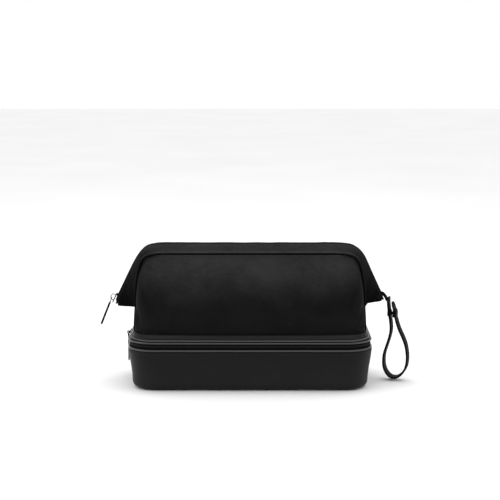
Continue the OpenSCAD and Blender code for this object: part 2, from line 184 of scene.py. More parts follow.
def leather_material(name="faux_leather", grey=0.005, rough=0.44, grain=1.0, wear=0.5, gloss=0.13, foot=1.0):
    """Grained leather whose tone is foot times as light at the floor, as a painted reflection of the bright
    floor.
    """
    g = Graph(name)
    cells = g.node("TexVoronoi", {"Vector": g.spot, "Scale": 950.0 / grain, "Randomness": 0.9},
                   feature="DISTANCE_TO_EDGE").outputs["Distance"]
    fine = g.noise(2600.0, 2.0, 0.6)
    broad = g.noise(34.0)
    pebble = g.ramp(cells, (0.0, 0.0), (0.16, 0.8), (0.4, 1.0))
    scuff = g.ramp(g.noise(120.0, 5.0, 0.7), (0.56, 0.0), (0.74, 1.0))
    tone = g.mul_add(pebble, 0.35, g.mul(broad, 0.6))
    colour = g.ramp(tone, (0.15, grey * 0.62), (0.6, grey), (1.0, grey * 1.45))
    # painted floor reflection: the tone is foot times as light at the floor, falls to three quarters at 42 mm
    # and is whole again at 52 mm
    if foot != 1.0:
        height = g.math("DIVIDE", g.node("SeparateXYZ", {"Vector": g.spot}).outputs["Z"], 0.06)
        colour = g.mix(1.0, colour, g.ramp(height, (0.02, foot), (0.7, 0.75), (0.86, 1.0)), "MULTIPLY")
    roughness = g.add(g.mul_add(broad, 0.14, rough - 0.07), g.mul(scuff, 0.08 * wear))
    normal = g.bump(pebble, 0.22, 0.00014, g.bump(broad, 0.22, 0.0011))
    return g.set(Base_Color=colour, Roughness=roughness, Normal=g.bump(fine, 0.12, 0.00006, normal),
                 Specular_IOR_Level=gloss)


def lining_material():
    g = Graph("lining_cloth")
    height = weave_height(g, 0.4)
    patch = g.noise(18.0)
    tone = g.add(g.mul(height, 0.5), g.mul(patch, 0.5))
    colour = g.ramp(tone, (0.2, (0.028, 0.028, 0.031)), (0.9, (0.06, 0.06, 0.066)))
    normal = g.bump(height, 0.4, 0.00012, g.bump(patch, 0.4, 0.0022))
    return g.set(Base_Color=colour, Roughness=0.55, Normal=normal, Sheen_Weight=0.15, Sheen_Roughness=0.3)


def tape_material():
    g = Graph("zip_tape_twill")
    u, v = g.cloth()
    ribs = g.math("SINE", g.mul(g.add(u, g.mul(v, 0.9)), 2 * math.pi / 0.7))
    rows = g.math("SINE", g.mul(v, 2 * math.pi / 0.55))
    height = g.mul_add(g.mul(ribs, rows), 0.5, 0.5)
    fuzz = g.noise(1400.0, 2.0, 0.7)
    colour = g.ramp(g.mul_add(fuzz, 0.5, g.mul(height, 0.5)), (0.2, 0.004), (0.9, 0.009))
    return g.set(Base_Color=colour, Roughness=0.8, Normal=g.bump(height, 0.5, 0.0002),
                 Specular_IOR_Level=0.06, Sheen_Weight=0.01, Sheen_Roughness=0.4)


def nylon_material():
    g = Graph("zip_nylon")
    flow = g.noise(700.0, 2.0)
    return g.set(Base_Color=g.ramp(flow, (0.3, 0.004), (0.7, 0.009)), Roughness=g.mul_add(flow, 0.2, 0.4),
                 Normal=g.bump(flow, 0.15, 0.0001), Specular_IOR_Level=0.1)


def metal_material(name, grey, rough):
    g = Graph(name)
    hair = g.noise(260.0, 4.0, 0.7, g.stretched(9.0, 9.0, 1.0))
    cloud = g.noise(160.0)
    worn = g.ramp(g.noise(420.0, 5.0, 0.75), (0.6, 0.0), (0.72, 1.0))
    tone = g.add(g.mul(hair, 0.4), g.mul(worn, 0.6))
    colour = g.ramp(tone, (0.1, grey * 0.8), (0.45, grey), (0.95, grey * 2.2))
    roughness = g.add(g.mul_add(cloud, 0.14, rough - 0.07), g.mul(hair, 0.08))
    return g.set(Base_Color=colour, Roughness=roughness, Metallic=1.0, Normal=g.bump(hair, 0.08, 0.00008))


def thread_material():
    g = Graph("thread_ply")
    ply = g.node("TexWave", {"Vector": g.spot, "Scale": 900.0, "Distortion": 2.0},
                 bands_direction="DIAGONAL").outputs["Fac"]
    return g.set(Base_Color=g.ramp(ply, (0.0, 0.007), (1.0, 0.022)), Roughness=0.62,
                 Normal=g.bump(ply, 0.4, 0.0001), Specular_IOR_Level=0.2)


def crease_shadow_material():
    """Near-black cord laid deep in the crease between the sewn edges: a painted shadow."""
    g = Graph("painted_crease_shadow")
    fibre = g.noise(1500.0, 3.0, 0.6)
    return g.set(Base_Color=g.ramp(fibre, (0.3, 0.0004), (0.7, 0.0012)), Roughness=0.95,
                 Normal=g.bump(fibre, 0.4, 0.0001), Specular_IOR_Level=0.02)


def board_material():
    g = Graph("board_fibre")
    fibre = g.noise(300.0, 6.0, 0.7)
    colour = g.ramp(fibre, (0.3, (0.07, 0.066, 0.06)), (0.7, (0.13, 0.12, 0.11)))
    return g.set(Base_Color=colour, Roughness=0.85, Normal=g.bump(fibre, 0.3, 0.0004))


# each canvas below is painted lighter higher up, as painted light from above
CANVAS = canvas_material("canvas_weave", 0.003, 0.0165, 0.088, 0.143)
# a darker copy of the weave: painted shade, darkest on the low wings
STRIP = canvas_material("canvas_strip", 0.001, 0.012, 0.126, 0.15, 0.05, 0.01)
# a lighter copy of the weave: painted highlight along the welt of the fold
WELT = canvas_material("canvas_welt", 0.0045, 0.026, 0.12, 0.146)
# the base leather is painted twice as light at the floor, a painted floor reflection
LEATHER = leather_material(foot=2.0)
PIPING = leather_material("piping_leather", 0.009, 0.3, 1.0, 0.3, 0.75)
STRAP_LEATHER = leather_material("strap_leather", 0.0028, 0.6, 0.8, 0.8, 0.04)
LINING = lining_material()
TAPE = tape_material()
NYLON = nylon_material()
DARK = metal_material("dark_metal", 0.012, 0.42)
WIRE = metal_material("coated_wire", 0.02, 0.4)
THREAD = thread_material()
CREASE_SHADOW = crease_shadow_material()
BOARD = board_material()


# ---------------------------------------------------------------- mesh helpers

def stand(name, data):
    obj = bpy.data.objects.new(name, data)
    bpy.context.scene.collection.objects.link(obj)
    return obj


def make(name, verts, faces, material, uv=None):
    """Smooth mesh object from millimetre points. uv is one pair for each point, in millimetres."""
    mesh = bpy.data.meshes.new(name)
    mesh.from_pydata((np.asarray(verts, float) * MM).tolist(), [], [list(f) for f in faces])
    mesh.materials.append(material)
    if uv is not None:
        layer = mesh.uv_layers.new(name="cloth")
        loops = np.empty(len(mesh.loops), np.int32)
        mesh.loops.foreach_get("vertex_index", loops)
        layer.data.foreach_set("uv", np.asarray(uv, np.float32)[loops].ravel())
    mesh.polygons.foreach_set("use_smooth", [True] * len(mesh.polygons))
    mesh.validate()
    mesh.update()
    return stand(name, mesh)


def fit(obj, body, slot, *nodes):
    """Says which body a piece moves with and hides the CAD nodes it stands for. slot, its material slot, is
    not used.
    """
    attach(obj, body)
    if nodes:
        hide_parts(*nodes)


def unit(vectors):
    return vectors / np.maximum(np.linalg.norm(vectors, axis=-1, keepdims=True), 1e-9)


def travel(path):
    """Distance along a path at each of its points."""
    return np.concatenate([[0], np.cumsum(np.linalg.norm(np.diff(path, axis=0), axis=1))])


def read_at(want, distance, columns):
    """Columns that are known at some distances, read at the distances wanted."""
    return np.stack([np.interp(want, distance, column) for column in np.transpose(columns)], 1)


def spread_uv(along, across):
    return np.stack(np.broadcast_arrays(along[:, None], across[None, :]), -1).reshape(-1, 2)


def grid_uv(P):
    """Distances along a grid's columns and rows, in millimetres."""
    du = np.linalg.norm(np.diff(P, axis=1), axis=2)
    dv = np.linalg.norm(np.diff(P, axis=0), axis=2)
    u = np.concatenate([np.zeros((P.shape[0], 1)), np.cumsum(du, 1)], 1)
    u -= u[:, P.shape[1] // 2][:, None]
    v = np.concatenate([np.zeros((1, P.shape[1])), np.cumsum(dv, 0)], 0)
    return np.stack([u, v], -1)


def grid_normals(P, closed_cols=False):
    a = np.roll(P, -1, 1) - np.roll(P, 1, 1) if closed_cols else np.gradient(P, axis=1)
    return unit(np.cross(a, np.gradient(P, axis=0)))


def quads(rows, cols, closed_cols=False, closed_rows=False):
    faces = []
    for i in range(rows if closed_rows else rows - 1):
        for j in range(cols if closed_cols else cols - 1):
            here, above = i * cols, (i + 1) % rows * cols
            faces.append((here + j, here + (j + 1) % cols, above + (j + 1) % cols, above + j))
    return faces


def turned_over(faces):
    return [face[::-1] for face in faces]


def stack_faces(rows, cols):
    """Faces round a stack of closed rows, and over its two ends."""
    return quads(rows, cols, True) + [tuple(range(cols))[::-1], tuple(range((rows - 1) * cols, rows * cols))]


def shell(name, P, thickness, material, flip=False, closed_cols=False):
    """Cloth of a given thickness. P is its outer face, and it thickens inwards."""
    rows, cols = P.shape[:2]
    inner = P - grid_normals(P, closed_cols) * (-thickness if flip else thickness)
    uv = grid_uv(P).reshape(-1, 2)
    n, last = rows * cols, (rows - 1) * cols
    front = quads(rows, cols, closed_cols)
    back = [tuple(n + k for k in reversed(f)) for f in front]
    if closed_cols:
        edges = [((j + 1) % cols, j) for j in range(cols)]
        edges += [(last + j, last + (j + 1) % cols) for j in range(cols)]
    else:
        loop = list(range(cols)) + [i * cols + cols - 1 for i in range(1, rows)]
        loop += [last + j for j in range(cols - 2, -1, -1)] + [i * cols for i in range(rows - 2, 0, -1)]
        edges = zip(loop[1:] + loop[:1], loop)
    faces = front + back + [(a, b, n + b, n + a) for a, b in edges]
    verts = np.concatenate([P.reshape(-1, 3), inner.reshape(-1, 3)])
    return make(name, verts, turned_over(faces) if flip else faces, material, np.concatenate([uv, uv]))


def closed_dish(P, middle_z):
    """Points and faces of a stack of rings whose last ring is closed by a fan to the middle."""
    n, last = P.shape[1], (len(P) - 1) * P.shape[1]
    verts = np.concatenate([P.reshape(-1, 3), [[0, 0, middle_z]]])
    return verts, quads(len(P), n, True) + [(last + j, last + (j + 1) % n, last + n) for j in range(n)]


def frames_along(path, closed=False, up=None):
    """Side and up vectors along a path, carried without twist or kept to a given up."""
    p = np.asarray(path, float)
    t = unit(np.roll(p, -1, 0) - np.roll(p, 1, 0) if closed else np.gradient(p, axis=0))
    if up is not None:
        s = unit(np.cross(t, np.broadcast_to(np.asarray(up, float), p.shape)))
        return s, np.cross(s, t)
    s = np.empty_like(p)
    first = np.cross(t[0], [0.03, 0.02, 1.0])
    if np.linalg.norm(first) < 0.2:
        first = np.cross(t[0], [0, 1.0, 0])
    s[0] = first / np.linalg.norm(first)
    for i in range(1, len(p)):
        q = s[i - 1] - t[i] * np.dot(s[i - 1], t[i])
        s[i] = q / np.linalg.norm(q)
    return s, np.cross(s, t)


def tube(path, section, closed=False, up=None):
    """Points and faces of a section of (side, up) points swept along a path."""
    s, u = frames_along(path, closed, up)
    p, sec = np.asarray(path, float), np.asarray(section, float)
    verts = p[:, None] + sec[None, :, 0, None] * s[:, None] + sec[None, :, 1, None] * u[:, None]
    rows, cols = verts.shape[:2]
    faces = quads(rows, cols, True, True) if closed else stack_faces(rows, cols)
    return verts.reshape(-1, 3), turned_over(faces)


def sweep(name, path, section, material, closed=False):
    verts, faces = tube(path, section, closed)
    return make(name, verts, faces, material, spread_uv(travel(path), travel(section)))


def circle(r, n=10):
    return [(r * math.cos(2 * math.pi * k / n), r * math.sin(2 * math.pi * k / n)) for k in range(n)]


def scatter(name, proto, faces, places, axes, material):
    """Many copies of one small shape in one mesh. axes holds (along, across, up) for each place."""
    verts = places[:, None] + np.einsum("pk,nkc->npc", np.asarray(proto, float), axes)
    n = len(proto)
    all_faces = [tuple(i * n + k for k in f) for i in range(len(places)) for f in faces]
    return make(name, verts.reshape(-1, 3), all_faces, material)


def capsule(length, r, flat=0.7, n=6):
    """A short stitch that dives at both ends, along its first axis."""
    half = [(0.5, 0.35, -0.8), (0.42, 0.85, -0.25), (0.2, 1.0, 0.1)]
    rings_along = [(-x, k, drop) for x, k, drop in half] + half[::-1]
    verts = [(x * length, r * k * c, r * flat * k * s + drop * r) for x, k, drop in rings_along
             for c, s in circle(1.0, n)]
    return verts, turned_over(stack_faces(len(rings_along), n))


def resample(path, step, closed=False):
    p = np.asarray(path, float)
    if closed:
        p = np.concatenate([p, p[:1]])
    d = travel(p)
    want = np.linspace(0, d[-1], max(2, int(round(d[-1] / step))) + 1)
    return read_at(want[:-1] if closed else want, d, p)


def stitch_line(name, path, normals, pitch=3.2, length=2.3, r=0.3, lift=0.1, closed=False):
    """A line of separate stitches lying on a surface. normals is one direction or one for each point."""
    p = np.asarray(path, float)
    both = np.concatenate([p, np.broadcast_to(np.asarray(normals, float), p.shape)], 1)
    if closed:
        both = np.concatenate([both, both[:1]])
    d = travel(both[:, :3])
    count = int(d[-1] / pitch)
    want = (np.arange(count) + 0.5) * d[-1] / count
    place, normal = np.split(read_at(want, d, both), 2, axis=1)
    t = unit(read_at(want + 0.6, d, both[:, :3]) - place)
    n = unit(normal - t * np.sum(normal * t, 1, keepdims=True))
    yaw = rng.normal(0, 0.05, (count, 1))
    along = t * np.cos(yaw) + np.cross(n, t) * np.sin(yaw)
    axes = np.stack([along, np.cross(n, along), n], 1)
    return scatter(name, *capsule(length, r), place + n * lift, axes, THREAD)


def smooth_curve(points, t):
    """Catmull-Rom through evenly numbered points, read at the numbers t."""
    p = np.asarray(points, float)
    p = np.concatenate([2 * p[:1] - p[1:2], p, 2 * p[-1:] - p[-2:-1]])
    i = np.clip(np.floor(t).astype(int), 0, len(p) - 4)
    f = (t - i)[:, None]
    a, b, c, d = p[i], p[i + 1], p[i + 2], p[i + 3]
    bend, twist = 2 * a - 5 * b + 4 * c - d, -a + 3 * b - 3 * c + d
    return 0.5 * (2 * b + (-a + c) * f + bend * f ** 2 + twist * f ** 3)


def wobble(P, size, amount, seed=0.0, normals=None):
    """Moves points along their normals by smooth noise whose features are size millimetres."""
    flat = P.reshape(-1, 3)
    h = np.array([noise.noise(Vector((p[0] / size + seed, p[1] / size, p[2] / size))) for p in flat])
    n = (grid_normals(P) if normals is None else normals).reshape(-1, 3)
    return (flat + n * (h * amount)[:, None]).reshape(P.shape)


def lookup(x, table):
    xs, ys = zip(*table)
    return np.interp(x, xs, ys)


def ease(t):
    t = np.clip(t, 0, 1)
    return t * t * (3 - 2 * t)


# ---------------------------------------------------------------- shape of the bag, in millimetres

def box_mm(node):
    return [np.array(corner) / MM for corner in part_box(node)]


HALF_W, HALF_D = box_mm("base_wall")[1][:2]
CORNER, TAPER, FOOT = 30.0, 4.0, 8.0
# how far the long sides bow out
BOW = 0.5
# the sewn edges sit a little higher than the CAD nodes they stand for
SEWN_UP = 0.8
BASE_H = box_mm("base_lip")[1][2]
ZIP_Z = (box_mm("base_zip_teeth")[1][2] + box_mm("lid_zip_teeth")[0][2]) / 2 + 0.6
TAPE_IN = 2.4
LID_Z = box_mm("lid_piping")[0][2] + SEWN_UP
FOLD_Z, FOLD_Y, RIDGE_Z = 151.0, 27.0, 157.5
MID = 129.0
# the sewn cloth holds the middle of the fold and the ridge a little below the line of the zip
FOLD_SAG, RIDGE_SAG = 2.0, 2.2
FOLD_TOP = FOLD_Z - FOLD_SAG
SIDES = ((-1, "front"), (1, "back"))

FOLD = [(0, 0, 0), (35, 0, 0), (70, 0, 0), (95, 0, 0), (106, 0, -0.8), (113, 0, -3.2), (118, -0.2, -7.5),
        (120.8, -0.6, -13), (123.2, -1.4, -21), (125.2, -2.8, -30.5), (126.8, -5.4, -40.5),
        (128, -10.5, -50), (128.9, -16.5, -58), (129.2, -21, -65.5)]
RIDGE = [(0, 0), (35, 0), (70, 0), (98, 0), (109, -0.9), (117.5, -3.9), (123.5, -9.2), (127.8, -15.5),
         (132.2, -24.5), (136.9, -34.1), (141.7, -43.9), (146.4, -53.5), (150.4, -62.5), (152.4, -69)]
LAST = len(FOLD) - 1


def plan(inset):
    """Plan outline from the middle of the back, through the left, front and right sides."""
    a, b, r = HALF_W - inset, HALF_D - inset, CORNER - inset
    sx, sy = a - r, b - r
    n_corner, n_half, n_short = 14, 11, 8

    def arc(cx, cy, start):
        return [(cx + r * math.cos(math.radians(start + 90 * k / n_corner)),
                 cy + r * math.sin(math.radians(start + 90 * k / n_corner))) for k in range(n_corner)]

    pts = [(-sx * k / n_half, b) for k in range(n_half)]
    pts += arc(-sx, sy, 90) + [(-a, sy - 2 * sy * k / n_short) for k in range(n_short)]
    pts += arc(-sx, -sy, 180) + [(-sx + sx * k / n_half, -b) for k in range(2 * n_half)]
    pts += arc(sx, -sy, 270) + [(a, -sy + 2 * sy * k / n_short) for k in range(n_short)]
    pts += arc(sx, sy, 0) + [(sx - sx * k / n_half, b) for k in range(n_half)]
    return np.array(pts)


def plan_normals():
    p = plan(0.0)
    t = np.roll(p, -1, 0) - np.roll(p, 1, 0)
    n = unit(np.column_stack([t[:, 1], -t[:, 0], np.zeros(len(p))]))
    return n * (-1 if n[0, 1] < 0 else 1)


def ring(inset, z, bow=0.0):
    """Plan outline at a height, with the long sides bowed out by up to bow."""
    p = plan(inset)
    share = np.clip(1 - (p[:, 0] / HALF_W) ** 2, 0, 1) * (np.abs(p[:, 1]) > HALF_D * 0.5)
    p[:, 1] += np.sign(p[:, 1]) * bow * share
    return np.column_stack([p, np.full(len(p), float(z))])


def rings(profile, bow=0.0, up=0.0):
    return np.array([ring(inset, z + up, bow) for inset, z in profile])


def base_outer(z):
    """How far the wall is set in at height z."""
    if z < FOOT:
        return TAPER + FOOT - FOOT * math.sqrt(max(0.0, 1 - (1 - z / FOOT) ** 2))
    up = (z - FOOT) / (BASE_H - FOOT)
    return TAPER * (0.9 * (1 - ease(up)) + 0.1 * (1 - up))


def sagging(k, depth):
    """How far point k of the fold or ridge hangs down, from depth in the middle to nothing at point 8."""
    return depth * (1 - min(1, max(0, (k - 4) / 4)))


full_t = np.linspace(0, LAST, 131)
RIDGE_PATH = [(x, 0.0, RIDGE_Z + z - sagging(k, RIDGE_SAG)) for k, (x, z) in enumerate(RIDGE)]
FOLD_PATH = [(x, FOLD_Y + y, FOLD_Z + z - sagging(k, FOLD_SAG)) for k, (x, y, z) in enumerate(FOLD)]
half_fold = smooth_curve(FOLD_PATH, full_t)
falling = half_fold[::-1]


def trimmed(points, t_end, last_point=None):
    """Right half of a curve whose last stretch is drawn up to t_end, or whose last point is moved."""
    points = list(points)
    if last_point is not None:
        points[-1] = last_point
    t = np.where(full_t < 10, full_t, 10 + (full_t - 10) * (t_end - 10) / (LAST - 10))
    return smooth_curve(points, t)


def whole(left, right):
    """Both halves of a curve, each given from the middle to its end."""
    return np.concatenate([left[:0:-1] * [-1, 1, 1], right])


def drawn_in(amounts):
    return [(x - d, y, z) for (x, y, z), d in zip(RIDGE_PATH, amounts)]


# the left wing reaches lower than the right one
fold_line = whole(half_fold, trimmed(FOLD_PATH, 12.45))
left_ridge = drawn_in([0, 0, 0, 0.2, 0.8, 2.2, 2.9, 2.5, 2.0, 1.9, 1.9, 1.9, 1.7, 1.0])
right_ridge = drawn_in([0, 0, 0, 0, 0, 0.3, 0.3, 0.3, 0.6, 1.0, 1.2, 1.4, 0.8, 0])
ridge_line = whole(trimmed(left_ridge, LAST, (151.6, 0.0, RIDGE_Z - 71.5)), trimmed(right_ridge, 12.55))
fold_t = np.concatenate([-full_t[:0:-1], full_t])


def fold_half(z):
    return np.where(z < falling[0, 2], MID + 0.2, np.interp(z, falling[:, 2], falling[:, 0]))


def edge_y(z):
    """How far a panel's side edge is from the middle plane."""
    low = lookup(z, [(60, 24.5), (66, 23), (72, 19.5), (78, 14), (83, 9), (86, 6.5)])
    high = np.interp(z, falling[:, 2], falling[:, 1])
    return np.where(z < falling[0, 2], low, high)


def middle_y(z):
    return lookup(z, [(60, 54.0), (68, 55.0), (76, 55.6), (84, 55.4), (92, 54.2), (98, 52.8), (104, 50.8),
                      (112, 47.4), (120, 43.4), (128, 39.2), (136, 34.6), (143, 30.4), (FOLD_TOP, FOLD_Y)])


def panel_y(u, z):
    """Depth of the panel at share u of its half width."""
    s, c = edge_y(z), middle_y(z)
    m = 6.5 - 3.3 * ease((z - 61) / 25) + 1.9 * ease((z - 100) / 50)
    return s + (c - s) * np.sqrt(np.clip(1 - np.abs(u) ** m, 0, 1))


# ---------------------------------------------------------------- cloth simulation

def drape(P, seed, slack=0.006, frames=18, puff=0.25, cap=2.2):
    """Lets a panel held along its edges sag and crease a little, and returns its points."""
    rows, cols = P.shape[:2]
    edge = np.ones((rows, cols), bool)
    edge[1:-1, 1:-1] = False
    start = np.where(edge[..., None], P, wobble(P, 30.0, 0.5, seed))
    obj = make("drape_work", start.reshape(-1, 3), quads(rows, cols), CANVAS)
    obj.vertex_groups.new(name="held").add(np.flatnonzero(edge).tolist(), 1.0, "REPLACE")
    cloth = obj.modifiers.new("cloth", "CLOTH")
    settings = dict(quality=6, mass=0.25, tension_stiffness=25, compression_stiffness=25, shear_stiffness=12,
                    bending_stiffness=3.0, vertex_group_mass="held", shrink_min=-slack, use_pressure=True,
                    uniform_pressure_force=puff)
    for key, value in settings.items():
        setattr(cloth.settings, key, value)
    cloth.collision_settings.use_collision = False
    scene = bpy.context.scene
    scene.frame_start, scene.frame_end = 1, frames
    cloth.point_cache.frame_start, cloth.point_cache.frame_end = 1, frames
    for f in range(1, frames + 1):
        scene.frame_set(f)
    ev = obj.evaluated_get(bpy.context.evaluated_depsgraph_get())
    co = np.array([v.co for v in ev.data.vertices], float).reshape(rows, cols, 3) / MM
    bpy.data.objects.remove(obj, do_unlink=True)
    scene.frame_set(1)
    move = co - P
    size = np.linalg.norm(move, axis=2, keepdims=True)
    return P + move * np.minimum(1, cap / np.maximum(size, 1e-9))


def thicken(obj, thickness, offset):
    solid = obj.modifiers.new("thick", "SOLIDIFY")
    solid.thickness = thickness * MM
    solid.offset = offset


# ---------------------------------------------------------------- base compartment

def build_base():
    heights = [0.0, 0.4, 1.2, 2.4, 4.0, 6.0, 8.0, 12, 16, 20, 24, 28, 32, 36, 39, 41.5, 43.2, 44.6]
    outer = rings([(base_outer(z), z) for z in heights], BOW)
    outer = wobble(outer, 42.0, 0.45, 3.1, grid_normals(outer, True))
    outer[0, :, 2] = 0.0
    wall = shell("base_wall_leather", outer, 1.7, LEATHER, closed_cols=True)
    fit(wall, "base", "faux_leather", "base_wall")

    # floor panel with a turned seam round it
    inset = TAPER + FOOT + 0.1
    flat = [(inset, 1.5), (inset, 0.35)] + [(inset + k, 0.0) for k in (0.7, 4, 9, 15)]
    verts, faces = closed_dish(rings(flat), 0.0)
    floor = make("base_floor_panel", verts, turned_over(faces), LEATHER)
    fit(floor, "base", "faux_leather", "base_floor")
    seam = sweep("base_foot_piping", ring(inset - 1.2, 0.95), circle(0.75, 8), LEATHER, closed=True)
    fit(seam, "base", "faux_leather")

    # rolled lip and the stitches below it
    lip = sweep("base_lip_roll", ring(1.0, BASE_H + SEWN_UP - 1.3, BOW), circle(1.2, 14), PIPING, closed=True)
    fit(lip, "base", "faux_leather", "base_lip")
    row = ring(base_outer(41.9) - 0.15, 41.9, BOW)
    fit(stitch_line("base_lip_stitches", row, plan_normals(), closed=True), "base", "faux_leather")

    # lining cup
    cup = [(base_outer(z) + 2.3, z) for z in (43.2, 36.0, 30.0, 23.0, 16.0, 11.0)]
    cup += [(base_outer(8) + 2.7, 7.2), (9.6, 5.2), (12.5, 4.3), (19, 4.15), (27, 4.1)]
    P = rings(cup)
    edge = P[0]
    P = wobble(P, 24.0, 0.35, 8.0, grid_normals(P, True))
    P[0] = edge
    verts, faces = closed_dish(P, 4.05)
    uv = np.column_stack([verts[:, 0] + verts[:, 2] * 0.5, verts[:, 1] + verts[:, 2]])
    lining = make("base_lining_cup", verts, faces, LINING, uv)
    thicken(lining, 0.5, 1)
    fit(lining, "base", "lining", "base_lining")


# the zip runs from the back left corner round the front to the back right corner
ZIP_RANGE = np.arange(16, len(plan(0.0)) - 15)
HINGE_RANGE = np.arange(15, -16, -1)


def tooth_shape(reach, back, height, thick):
    """One nylon tooth: a rounded loop that hooks across the middle. Axes: along, across, up."""
    outline = [(-back, -0.38), (-back, 0.38), (reach * 0.3, 0.5), (reach, 0.3), (reach + 0.25, 0.0),
               (reach, -0.3), (reach * 0.3, -0.5)]
    middle = (reach - back) / 2
    verts = [(along * thick, middle + (across - middle) * (0.86 + 0.14 * k), up * height * k)
             for along, k in ((-0.5, 0.72), (-0.3, 1.0), (0.3, 1.0), (0.5, 0.72)) for across, up in outline]
    return verts, stack_faces(4, len(outline))


def teeth(name, path, across, up, body, node, phase=0.0, pitch=1.3):
    """A row of teeth along a path. across points from the tape to the other row."""
    both = np.concatenate([path, np.broadcast_to(across, path.shape), np.broadcast_to(up, path.shape)], 1)
    d = travel(path)
    want = np.arange(pitch * (0.5 + phase), d[-1], pitch)
    at = read_at(want, d, both)
    a = unit(at[:, 3:6])
    t = read_at(want + 0.4, d, path) - read_at(want - 0.4, d, path)
    t = unit(t - a * np.sum(t * a, 1, keepdims=True))
    axes = np.stack([t, a, np.cross(t, a)], 1)
    row = scatter(name, *tooth_shape(0.75, 1.9, 1.7, pitch * 0.62), at[:, :3], axes, NYLON)
    fit(row, body, "zip_teeth", node)


def clamp(half_w, z0, z1, half_t):
    """Folded metal stop that grips the end of a row of teeth."""
    side = [(half_t, 0.8), (half_t, 0.3), (half_t - 0.3, 0)]
    return slab(trapezoid(half_w, half_w, z0, z1, 0.35), [(-x, inset) for x, inset in side] + side[::-1])


def build_base_zip():
    lower = [(3.3, 38.2), (3.3, 41.0), (3.2, 44.0), (2.9, 46.2), (2.5, 47.4), (2.4, ZIP_Z - 1.5),
             (2.4, ZIP_Z - 0.7)]
    upper = [(2.4, ZIP_Z + 0.7), (2.4, ZIP_Z + 1.5), (2.5, LID_Z + 0.5), (3.0, LID_Z + 1.6),
             (3.6, LID_Z + 2.3), (6.0, LID_Z + 2.45), (11.0, LID_Z + 2.5)]
    for part, body, node, profile in (("lower", "base", "base", lower), ("upper", "upper", "lid", upper)):
        P = rings(profile, BOW)[:, ZIP_RANGE]
        tape = shell("base_zip_tape_" + part, P, 0.55, TAPE)
        fit(tape, body, "zip_tape", node + "_zip_tape")
    normals = plan_normals()[ZIP_RANGE]
    centre = ring(TAPE_IN - 0.1, ZIP_Z, BOW)[ZIP_RANGE]
    teeth("base_zip_teeth_lower", centre, (0, 0, 1.0), normals, "base", "base_zip_teeth")
    teeth("base_zip_teeth_upper", centre, (0, 0, -1.0), normals, "upper", "lid_zip_teeth", 0.5)
    verts, faces = clamp(1.1, -1.1, 0.9, 1.0)
    ends = []
    for place, normal in ((centre[0], normals[0]), (centre[-1], normals[-1])):
        basis = np.column_stack([[-normal[1], normal[0], 0.0], normal, [0, 0, 1.0]])
        ends.append((placed(verts, basis, place - [0, 0, 1.3]), faces))
    fit(make("base_zip_stop_clamps", *join(ends), DARK), "base", "dark_metal", "base_zip_stops")


# ---------------------------------------------------------------- lid band and deck

def shouldered(P):
    """Draws the two ends of the band in, where its shoulder is flatter than along the front."""
    k = lookup(P[..., 2] - LID_Z, [(2.5, 0), (3.9, 2.4), (5, 3.4), (6.2, 3.0), (7.4, 2.0), (8.5, 1.0),
                                   (9.4, 0.2)])
    P = P.copy()
    P[..., 0] -= np.sign(P[..., 0]) * k * ease((np.abs(P[..., 0]) - 108) / 22)
    return P


def build_lid():
    roll = sweep("lid_piping_roll", ring(1.1, LID_Z + 1.15, BOW), circle(1.05, 14), PIPING, closed=True)
    fit(roll, "upper", "faux_leather", "lid_piping")

    profile = [(3.6, 1.7), (3.0, 2.0), (2.4, 2.5), (1.7, 3.4), (1.75, 4.5), (2.3, 5.5), (3.4, 6.7),
               (4.7, 7.8), (5.7, 8.6), (6.2, 9.1), (7.0, 9.3), (8.4, 8.9), (10.2, 8.0), (12.0, 6.6)]
    P = shouldered(rings(profile, BOW, LID_Z))
    P = wobble(P, 34.0, 0.28, 5.0, grid_normals(P, True))
    band = shell("lid_band_leather", P, 1.1, LEATHER, closed_cols=True)
    fit(band, "upper", "faux_leather", "lid_band")
    edge, sewn_row = shouldered(rings([(1.45, 3.75), (4.9, 8.1)], BOW, LID_Z))
    fit(sweep("lid_band_edge", edge, circle(0.85, 12), PIPING, closed=True), "upper", "faux_leather")
    normals = plan_normals() * 0.8 + np.array([0, 0, 0.6])
    sewn = stitch_line("lid_band_stitches", sewn_row, normals, 3.0, 2.1, 0.28, 0.05, closed=True)
    fit(sewn, "upper", "faux_leather")

    # padded floor of the main compartment
    z = box_mm("deck_lining")[1][2]
    P = rings([(9.2, -0.6), (9.6, 0.1), (14, 0.4), (20, 0.5), (27, 0.5)], up=z)
    verts, faces = closed_dish(P, z + 0.5)
    deck = make("deck_lining_cloth", verts, faces, LINING, verts[:, :2])
    thicken(deck, 0.6, -1)
    fit(deck, "upper", "lining", "deck_lining")

    # underside of the deck, seen with the lid up
    z = box_mm("lid_deck")[0][2]
    P = rings([(4.2, 0.5), (4.6, -0.25), (12, -0.35), (20, -0.4), (27, -0.4)], up=z)
    verts, faces = closed_dish(P, z - 0.4)
    under = make("lid_underside_cloth", verts, turned_over(faces), LINING, verts[:, :2])
    thicken(under, 0.5, -1)
    fit(under, "upper", "lining")

    # soft hinge strip along the back
    profile = [(3.2 - 0.35 * math.cos((z - 50) * 0.35), z) for z in np.linspace(43.6, 54.4, 12)]
    P = rings(profile)[:, HINGE_RANGE]
    strip = shell("hinge_strip_leather", P, 0.7, LEATHER, flip=True)
    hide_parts("hinge_strip")
    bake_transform(strip)


# ---------------------------------------------------------------- canvas panels

boundary = np.concatenate([half_fold[:, [0, 2]], [[MID + 0.2, z] for z in np.linspace(85, 58, 28)]])


def pinched(P, side):
    """Draws the panel in where it is sewn round its edge, and puffs it just inside that."""
    away = np.stack([np.abs(P[..., 0]), P[..., 2]], -1)[..., None, :] - boundary
    d = np.linalg.norm(away, axis=-1).min(-1)
    top = ease((P[..., 2] - 84) / 12)
    tuck = (2.6 * (1 - ease((d - 1.0) / 1.9)) - 0.9 * np.exp(-((d - 7) / 5) ** 2)) * top
    P = P.copy()
    P[..., 1] -= side * tuck
    return P


